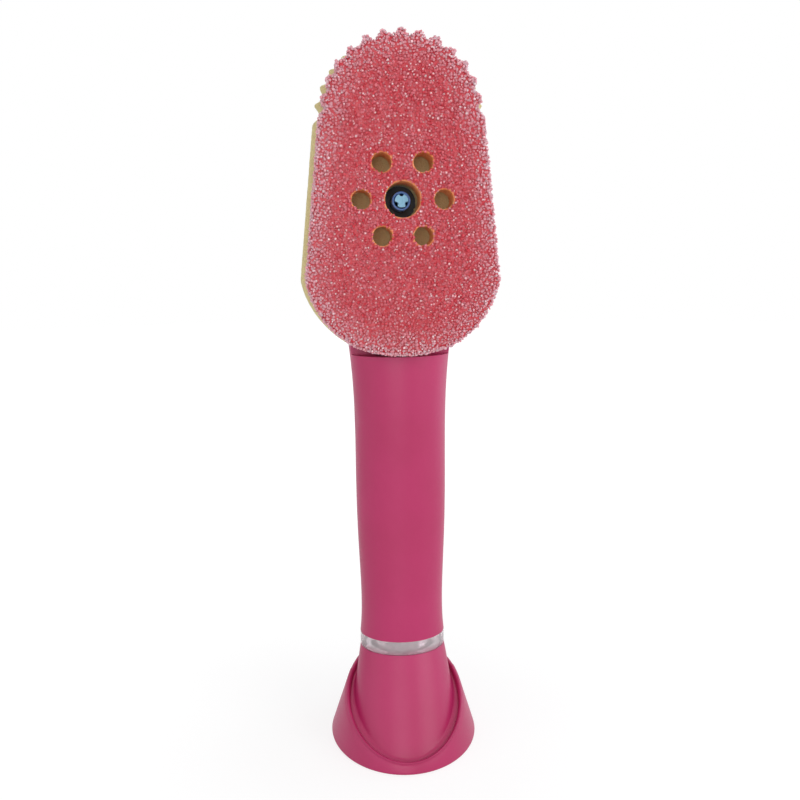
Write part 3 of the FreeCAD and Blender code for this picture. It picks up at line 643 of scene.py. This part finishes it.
            # Painted light: the nearer a grain lies to the foam's sides, the paler it is painted.
            nearness = max(0.0, 1.0 - edges.find(spot)[2] / self.painted_edge_light_width)
            edge = nearness * self.painted_edge_light_share * chance.uniform(0.4, 1.0)
            for vert in made["verts"]:
                vert[tint] = value
                vert[painted_edge_light] = edge
            # Painted highlight: on some grains the vertex facing outward most is painted near white.
            if chance.random() < self.painted_glint_share:
                crest = max(made["verts"], key=lambda vert: vert.co.dot(normal))
                crest[painted_glint] = chance.uniform(0.3, 1.0)
        data = bpy.data.meshes.new("grain_batch")
        batch.to_mesh(data)
        batch.free()
        core.from_mesh(data)
        bpy.data.meshes.remove(data)

    def backing_foam(self) -> None:
        """Build the cream backing, whose soft uneven sides stand out past the scrubbing foam."""
        even = remeshed_node("backing_foam", self.backing_voxel)
        self.tuck_corners(even)
        for _ in range(2):
            bmesh.ops.smooth_vert(
                even, verts=even.verts, factor=0.5, use_axis_x=True, use_axis_y=True, use_axis_z=True)
        outlet_height = sum(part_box("outlet_seal"), Vector()).z / 2
        for vert in even.verts:
            ripple = noise.noise(vert.co * self.backing_waves) * self.backing_ripple
            swell = 0.0 if self.in_hole(vert.co, vert.normal, outlet_height) else self.backing_swell
            vert.co += vert.normal * ripple
            vert.co.x += vert.normal.x * swell
        pad = new_piece("backing_foam_pad", even, Finish.BACKING_FOAM, self.body)
        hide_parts("backing_foam")


@dataclass
class ScrewThread:
    """A helical ridge on a round wall, made by turning and lifting its section."""

    name: str
    body: str
    finish: Finish
    wall: float
    crest: float
    start: float
    turns: float = 3.0
    lead: float = 4.0 * MM
    root_width: float = 1.7 * MM
    crest_width: float = 0.8 * MM
    steps_per_turn: int = 48
    start_angle: float = 0.0

    def build(self) -> bpy.types.Object:
        """Turn the section up the wall and close both ends.

        Returns:
            The finished ridge.
        """
        shape = bmesh.new()
        corners = (
            (self.wall, -self.root_width / 2), (self.crest, -self.crest_width / 2),
            (self.crest, self.crest_width / 2), (self.wall, self.root_width / 2))
        turn = Matrix.Rotation(self.start_angle, 4, "Z")
        points = [
            shape.verts.new(turn @ Vector((radius, 0.0, self.start + lift))) for radius, lift in corners]
        section = shape.faces.new(points)
        steps = round(self.turns * self.steps_per_turn)
        bmesh.ops.spin(
            shape, geom=[section, *section.edges, *section.verts], cent=(0, 0, 0), axis=(0, 0, 1),
            dvec=(0, 0, self.lead / self.steps_per_turn), angle=math.tau * self.turns, steps=steps,
            use_duplicate=False)
        bmesh.ops.holes_fill(shape, edges=shape.edges, sides=4)
        bmesh.ops.recalc_face_normals(shape, faces=shape.faces)
        if not all(edge.is_manifold for edge in shape.edges):
            raise RuntimeError(f"{self.name} is not closed")
        return new_piece(self.name, shape, self.finish, self.body, smooth=False)


@dataclass
class Handle:
    """The grip and blade with the clear reservoir inside."""

    body: str = "handle"
    neck_wall: float = 10.3 * MM
    thread_crest: float = 11.35 * MM
    thread_rise: float = 4.0 * MM

    def build(self) -> None:
        """Dress the handle's nodes and add the neck's thread."""
        dress_node("handle_shell", Finish.PINK_PLASTIC)
        dress_node("head_cover", Finish.PINK_PLASTIC)
        dress_node("reservoir", Finish.CLEAR_PLASTIC)
        dress_node("reservoir_seal", Finish.SEAL_RUBBER)
        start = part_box("reservoir")[0].z + self.thread_rise
        ScrewThread(
            "neck_thread", self.body, Finish.CLEAR_PLASTIC, self.neck_wall, self.thread_crest, start,
        ).build()


@dataclass
class CapLip:
    """The rounded lip along the foot's slanted edge, which leaves a groove beside the core."""

    body: str = "screw_cap"
    slope: float = math.radians(30.0)
    centre: Vector = field(default_factory=lambda: Vector((0.0, -5.0, 20.27)) * MM)
    wall_drop: float = 1.0 * MM
    core_lift: float = 1.5 * MM
    reach: float = 80.0 * MM
    widest: float = 2.6 * MM
    width_share: float = 0.62
    height_share: float = 0.75
    root: float = 0.3 * MM
    skin: float = 0.02 * MM
    skirt_side: tuple[tuple[float, float], ...] = ((0.5, 0.0), (0.87, 0.14))
    groove_side: tuple[tuple[float, float], ...] = ((1.0, 0.42), (0.88, 0.72), (0.5, 0.93))
    foot_inset: float = 0.6
    steps: int = 180

    def build(self) -> bpy.types.Object:
        """Run the lip's section round the foot.

        Returns:
            The finished lip.
        """
        foot = bmesh.new()
        foot.from_mesh(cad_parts["base_cap"].data)
        tree = BVHTree.FromBMesh(foot)
        foot.free()
        shape = bmesh.new()
        sections = []
        for step in range(self.steps):
            places = self.section(tree, math.tau * step / self.steps)
            sections.append([shape.verts.new(place) for place in places])
        for near, far in zip(sections, sections[1:] + sections[:1]):
            for index in range(len(near)):
                shape.faces.new((near[index - 1], near[index], far[index], far[index - 1]))
            shape.edges.get((near[0], far[0])).smooth = False
        bmesh.ops.recalc_face_normals(shape, faces=shape.faces)
        return new_piece("cap_lip", shape, Finish.PINK_PLASTIC, self.body)

    def section(self, tree: BVHTree, angle: float) -> list[Vector]:
        """Lay out the lip's section at one place of the foot's edge.

        Args:
            tree: The foot's surface.
            angle: Turn round the foot, from its front.

        Returns:
            Points of the section, from the skirt over the lip and down into the groove.
        """
        up = Vector((0.0, -math.sin(self.slope), math.cos(self.slope)))
        along = math.cos(angle)
        inwards = Vector((-math.sin(angle), along, along * math.tan(self.slope))).normalized()
        start = self.centre - inwards * self.reach
        wall, normal, _, _ = tree.ray_cast(start - up * self.wall_drop, inwards)
        core, _, _, _ = tree.ray_cast(start + up * self.core_lift, inwards)
        rising = (Vector((0.0, 0.0, 1.0)) - normal * normal.z).normalized()
        edge = wall + rising * (self.wall_drop / rising.dot(up))
        width = min(self.widest, (core - edge).dot(inwards) * self.width_share)
        height = width * self.height_share
        outer = [
            edge + rising * height * lift + inwards * width * inset for lift, inset in self.skirt_side]
        inner = [edge + up * height * lift + inwards * width * inset for lift, inset in self.groove_side]
        return [
            wall + normal * self.skin, *outer, *inner,
            edge - up * self.root + inwards * width,
            edge - up * self.wall_drop + inwards * width * self.foot_inset]


@dataclass
class BaseCap:
    """The flared foot with its threaded insert."""

    body: str = "screw_cap"
    insert_wall: float = 11.7 * MM
    thread_crest: float = 10.65 * MM
    thread_rise: float = 6.0 * MM

    def build(self) -> None:
        """Dress the cap's nodes and add its lip and the insert's thread."""
        dress_node("base_cap", Finish.PINK_PLASTIC, 40.0)
        CapLip().build()
        dress_node("cap_insert", Finish.WHITE_PLASTIC)
        dress_node("cap_gasket", Finish.SEAL_RUBBER)
        dress_node("vent_valve", Finish.SEAL_RUBBER)
        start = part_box("reservoir")[0].z + self.thread_rise
        ScrewThread(
            "insert_thread", self.body, Finish.WHITE_PLASTIC, self.insert_wall, self.thread_crest, start,
        ).build()


@dataclass
class SoapValve:
    """The push valve in the head."""

    stroke: float = 2.2 * MM

    def build(self) -> None:
        """Dress the valve's nodes and give the spring a mesh of its own."""
        dress_node("valve_housing", Finish.BLUE_PLASTIC)
        dress_node("valve_plunger", Finish.LIGHT_BLUE_PLASTIC)
        dress_node("spring_retainer", Finish.WHITE_PLASTIC)
        dress_node("valve_spring", Finish.SPRING_STEEL, 60.0)
        dress_node("housing_seal", Finish.SEAL_RUBBER, 60.0)
        dress_node("plunger_seal", Finish.SEAL_RUBBER, 60.0)
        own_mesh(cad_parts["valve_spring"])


@dataclass
class SoftLamp:
    """A large soft lamp that points at the wand."""

    name: str
    place: tuple[float, float, float]
    size: float
    watts: float
    colour: tuple[float, float, float] = (1.0, 1.0, 1.0)
    target: tuple[float, float, float] = (0.0, 0.0, 0.15)

    def build(self) -> None:
        """Add the lamp to the scene."""
        data = bpy.data.lights.new(self.name, "AREA")
        data.size = self.size
        data.energy = self.watts
        data.color = self.colour
        lamp = bpy.data.objects.new(self.name, data)
        lamp.location = self.place
        way = Vector(self.target) - Vector(self.place)
        lamp.rotation_euler = way.to_track_quat("-Z", "Y").to_euler()
        bpy.context.scene.collection.objects.link(lamp)


@dataclass
class Studio:
    """White floor and surroundings, soft lamps and the camera."""

    camera_distance: float = 330.0 * MM
    camera_height: float = 200.0 * MM
    camera_pitch: float = -9.6
    camera_swing: float = -4.1
    camera_side: float = 0.1 * MM
    camera_roll: float = -0.6
    lens: float = 36.9
    world_light: float = 0.38
    world_seen: float = 1.0
    floor_radius: float = 2.5
    floor_glow: float = 1.1
    shadow_reach: tuple[float, float] = (0.06, 0.3)
    shadow_white: float = 0.7
    lamps: list[SoftLamp] = field(default_factory=lambda: [
        SoftLamp("key_lamp", (0.8, -0.7, 0.5), 0.7, 4.6),
        SoftLamp("front_lamp", (-0.15, -1.1, 0.3), 0.6, 3.3),
        SoftLamp("side_lamp", (0.9, 0.25, 0.35), 0.8, 3.0, (0.86, 0.9, 1.0)),
        SoftLamp("fill_lamp", (-0.9, -0.5, 0.4), 0.9, 2.0),
        SoftLamp("top_lamp", (0.0, 0.1, 1.1), 0.7, 2.0),
    ])

    def build(self) -> None:
        """Set up the whole studio."""
        scene = bpy.context.scene
        scene.view_settings.view_transform = "Standard"
        self.surroundings()
        self.floor()
        for lamp in self.lamps:
            lamp.build()
        self.camera()

    def surroundings(self) -> None:
        """Make the world white where it is seen, also in reflections and through clear plastic."""
        world = bpy.data.worlds.new("studio_world")
        world.use_nodes = True
        bpy.context.scene.world = world
        tree = world.node_tree
        background = tree.nodes["Background"]
        background.inputs["Color"].default_value = (1, 1, 1, 1)
        path = tree.nodes.new("ShaderNodeLightPath")
        seen = path.outputs["Is Camera Ray"]
        for kind in ("Is Glossy Ray", "Is Transmission Ray"):
            either = tree.nodes.new("ShaderNodeMath")
            either.operation = "MAXIMUM"
            tree.links.new(seen, either.inputs[0])
            tree.links.new(path.outputs[kind], either.inputs[1])
            seen = either.outputs[0]
        level = tree.nodes.new("ShaderNodeMapRange")
        level.inputs["To Min"].default_value = self.world_light
        level.inputs["To Max"].default_value = self.world_seen
        tree.links.new(seen, level.inputs["Value"])
        tree.links.new(level.outputs["Result"], background.inputs["Strength"])

    def floor(self) -> None:
        """Lay the pale floor, which keeps the wand's soft shadow and fades to white further out."""
        shape = bmesh.new()
        bmesh.ops.create_circle(shape, cap_ends=True, segments=96, radius=self.floor_radius)
        data = bpy.data.meshes.new("floor")
        shape.to_mesh(data)
        shape.free()
        plan = NodePlan("floor_paint")
        plan.surface(Base_Color=(0.9, 0.9, 0.9, 1), Roughness=0.8)
        glow = plan.add("ShaderNodeEmission", Color=(1, 1, 1, 1), Strength=self.floor_glow)
        rays = plan.add("ShaderNodeLightPath").outputs
        white = plan.remap(plan.distance(), *self.shadow_reach, self.shadow_white, 1.0)
        direct = plan.combine("MAXIMUM", rays["Is Camera Ray"], rays["Is Transmission Ray"])
        viewed = plan.combine("MAXIMUM", direct, rays["Is Glossy Ray"])
        seen = plan.combine("MULTIPLY", viewed, white)
        mixed = plan.add("ShaderNodeMixShader", Fac=seen)
        plan.tree.links.new(plan.shader.outputs[0], mixed.inputs[1])
        plan.tree.links.new(glow.outputs[0], mixed.inputs[2])
        plan.tree.links.new(mixed.outputs[0], plan.tree.nodes["Material Output"].inputs["Surface"])
        data.materials.append(plan.material)
        floor = bpy.data.objects.new("floor", data)
        bpy.context.scene.collection.objects.link(floor)

    def camera(self) -> None:
        """Place the camera in front of the wand, a little to its left and above its middle."""
        data = bpy.data.cameras.new("photo_camera")
        data.lens = self.lens
        data.sensor_width = 36.0
        swing = math.radians(self.camera_swing)
        camera = bpy.data.objects.new("photo_camera", data)
        camera.location = (
            self.camera_distance * math.sin(swing) + self.camera_side,
            -self.camera_distance * math.cos(swing), self.camera_height)
        pitch = Matrix.Rotation(math.radians(90 + self.camera_pitch), 3, "X")
        roll = Matrix.Rotation(math.radians(self.camera_roll), 3, "Z")
        camera.rotation_euler = (Matrix.Rotation(swing, 3, "Z") @ pitch @ roll).to_euler()
        bpy.context.scene.collection.objects.link(camera)
        bpy.context.scene.camera = camera


def main() -> None:
    """Build the studio and every sub-assembly of the wand."""
    logging.basicConfig(level=logging.INFO, format="%(name)s: %(message)s")
    for part in (Studio(), Handle(), BaseCap(), SoapValve(), ScrubPad()):
        part.build()
        log.info("finished %s", type(part).__name__)


if __name__ == "__main__":
    main()
